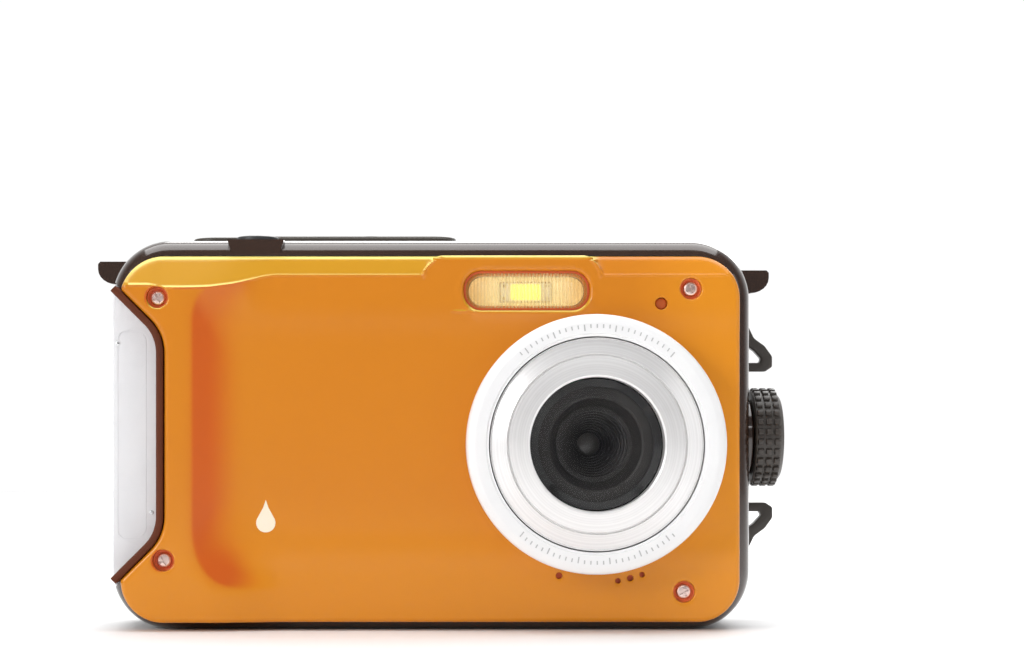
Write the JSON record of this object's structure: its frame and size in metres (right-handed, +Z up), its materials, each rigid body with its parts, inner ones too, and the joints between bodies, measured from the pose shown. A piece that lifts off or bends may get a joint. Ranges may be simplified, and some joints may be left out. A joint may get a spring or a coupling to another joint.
{
  "type": "action camera",
  "caption": "Waterproof compact action camera: orange front cover in a black housing, large lens ring, flash window, screw-down side knob and strap lugs.",
  "frame": {"origin": "centre of the tripod socket mouth, on the flat underside of the housing", "axes": "+X to the right as seen from the front, +Y from the lens to the screen, +Z up"},
  "size_m": [0.1153, 0.0332, 0.0648],
  "materials": {
    "orange_plastic": "smooth gloss, moulded",
    "black_plastic": "piano black gloss",
    "pale_plastic": "satin pale",
    "liner_rubber": "satin dark",
    "seal_rubber": "matt",
    "screw_steel": "bright",
    "white_trim": "fine bead blasted, bright",
    "brushed_trim": "spun",
    "clear_glass": "polished",
    "lens_glass": "coated",
    "baffle_black": "matt black",
    "chip": "matt",
    "diffuser": "ribbed",
    "reflector": "bright",
    "led": "phosphor",
    "board": "solder mask",
    "amber": "tinted",
    "pad_plastic": "satin",
    "key_plastic": "satin",
    "knob_plastic": "satin",
    "lug_plastic": "satin",
    "tray_plastic": "moulded",
    "dark_glass": "polished",
    "lcd": "smooth",
    "cell_wrap": "printed film, plain",
    "brass_part": "machined"
  },
  "bodies": {
    "root": {"front_cover": "orange_plastic", "main_housing": "black_plastic", "rear_cover": "black_plastic", "housing_gasket": "seal_rubber", "grip_liner": "liner_rubber", "grip_insert": "pale_plastic", "front_screws": "screw_steel", "rear_screws": "screw_steel", "lens_trim_ring": "white_trim", "lens_inner_ring": "brushed_trim", "lens_window": "clear_glass", "lens_window_seal": "seal_rubber", "lens_baffle": "baffle_black", "lens_barrel": "baffle_black", "front_lens": "lens_glass", "rear_lens": "lens_glass", "infrared_filter": "lens_glass", "image_sensor": "chip", "flash_window": "diffuser", "flash_reflector": "reflector", "flash_led": "led", "flash_board": "board", "indicator_window": "amber", "indicator_led": "led", "microphone": "chip", "speaker": "chip", "top_pad": "pad_plastic", "shutter_switch": "screw_steel", "power_switch": "screw_steel", "top_board": "board", "lcd_window": "dark_glass", "lcd_panel": "lcd", "lcd_bracket": "screw_steel", "key_seal": "seal_rubber", "key_board": "board", "main_board": "board", "processor": "chip", "lower_cell": "cell_wrap", "upper_cell": "cell_wrap", "lower_cell_tray": "tray_plastic", "upper_cell_tray": "tray_plastic", "cell_springs": "screw_steel", "memory_card": "chip", "card_socket": "screw_steel", "usb_socket": "screw_steel", "screw_insert": "brass_part", "strap_lugs": "lug_plastic", "tripod_bush": "brass_part"},
    "shutter_button": {"shutter_button": "pad_plastic"},
    "power_button": {"power_button": "pad_plastic"},
    "side_cover": {"side_cover": "black_plastic", "side_cover_seal": "seal_rubber"},
    "knob": {"knob": "knob_plastic", "knob_screw": "screw_steel"},
    "up_key": {"up_key": "key_plastic"},
    "down_key": {"down_key": "key_plastic"},
    "menu_key": {"menu_key": "key_plastic"},
    "delete_key": {"delete_key": "key_plastic"},
    "ok_key": {"ok_key": "key_plastic"},
    "playback_key": {"playback_key": "key_plastic"}
  },
  "joints": [
    {"name": "shutter_press", "type": "slide", "parent": "root", "child": "shutter_button", "axis": [0, 0, -1], "range_m": [0, 0.0006], "stiffness_N_per_m": 800},
    {"name": "power_press", "type": "slide", "parent": "root", "child": "power_button", "axis": [0, 0, -1], "range_m": [0, 0.0004], "stiffness_N_per_m": 800},
    {"name": "up_press", "type": "slide", "parent": "root", "child": "up_key", "axis": [0, -1, 0], "range_m": [0, 0.0004], "stiffness_N_per_m": 800},
    {"name": "down_press", "type": "slide", "parent": "root", "child": "down_key", "axis": [0, -1, 0], "range_m": [0, 0.0004], "stiffness_N_per_m": 800},
    {"name": "menu_press", "type": "slide", "parent": "root", "child": "menu_key", "axis": [0, -1, 0], "range_m": [0, 0.0004], "stiffness_N_per_m": 800},
    {"name": "delete_press", "type": "slide", "parent": "root", "child": "delete_key", "axis": [0, -1, 0], "range_m": [0, 0.0004], "stiffness_N_per_m": 800},
    {"name": "ok_press", "type": "slide", "parent": "root", "child": "ok_key", "axis": [0, -1, 0], "range_m": [0, 0.0004], "stiffness_N_per_m": 800},
    {"name": "playback_press", "type": "slide", "parent": "root", "child": "playback_key", "axis": [0, -1, 0], "range_m": [0, 0.0004], "stiffness_N_per_m": 800},
    {"name": "cover_lift", "type": "slide", "parent": "root", "child": "side_cover", "axis": [1, 0, 0], "range_m": [0, 0.004]},
    {"name": "knob_turn", "type": "hinge", "parent": "side_cover", "child": "knob", "pos_m": [0.05295, 0, 0.0312], "axis": [1, 0, 0], "range_deg": [0, 1800]}
  ],
  "couplings": [
    {"joint": "knob_turn", "follows": "cover_lift", "rad_per_m": 7854}
  ]
}
